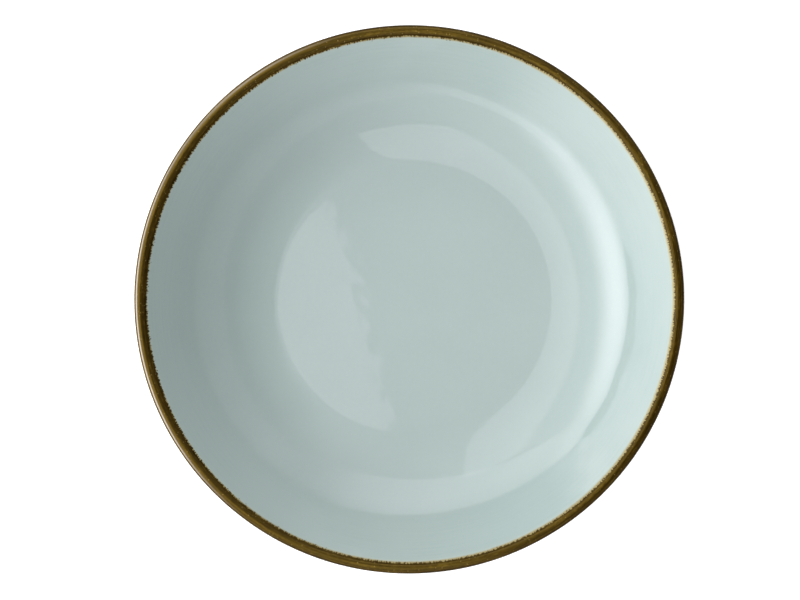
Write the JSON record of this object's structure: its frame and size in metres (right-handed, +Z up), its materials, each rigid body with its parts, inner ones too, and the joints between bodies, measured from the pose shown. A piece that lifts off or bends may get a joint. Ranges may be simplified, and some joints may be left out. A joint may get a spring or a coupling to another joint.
{
  "type": "deep plate",
  "caption": "Round deep coupe plate: flat well, sweeping cove and sloped wall up to a half-round lip, grey-blue glaze with a brown rim band, standing on a low foot ring.",
  "frame": {"origin": "middle of the standing face of the foot ring, on the plate's axis", "axes": "+Z up along the plate's axis, out of the bowl; the plate is round, so X and Y are any two level directions"},
  "size_m": [0.23, 0.23, 0.045],
  "materials": {
    "clay": "bare fired stoneware, matt and slightly grainy",
    "blue_glaze": "glossy pale grey-blue glaze, slightly mottled",
    "brown_glaze": "satin olive-brown iron glaze with fine streaks around the rim",
    "pale_glaze": "cream line where the glaze runs thin beside the brown band"
  },
  "bodies": {
    "root": {"clay_body": "clay", "base_glaze": "blue_glaze", "outside_glaze": "blue_glaze", "outside_break_line": "pale_glaze", "rim_band": "brown_glaze", "inside_break_line": "pale_glaze", "inside_glaze": "blue_glaze"}
  },
  "joints": []
}
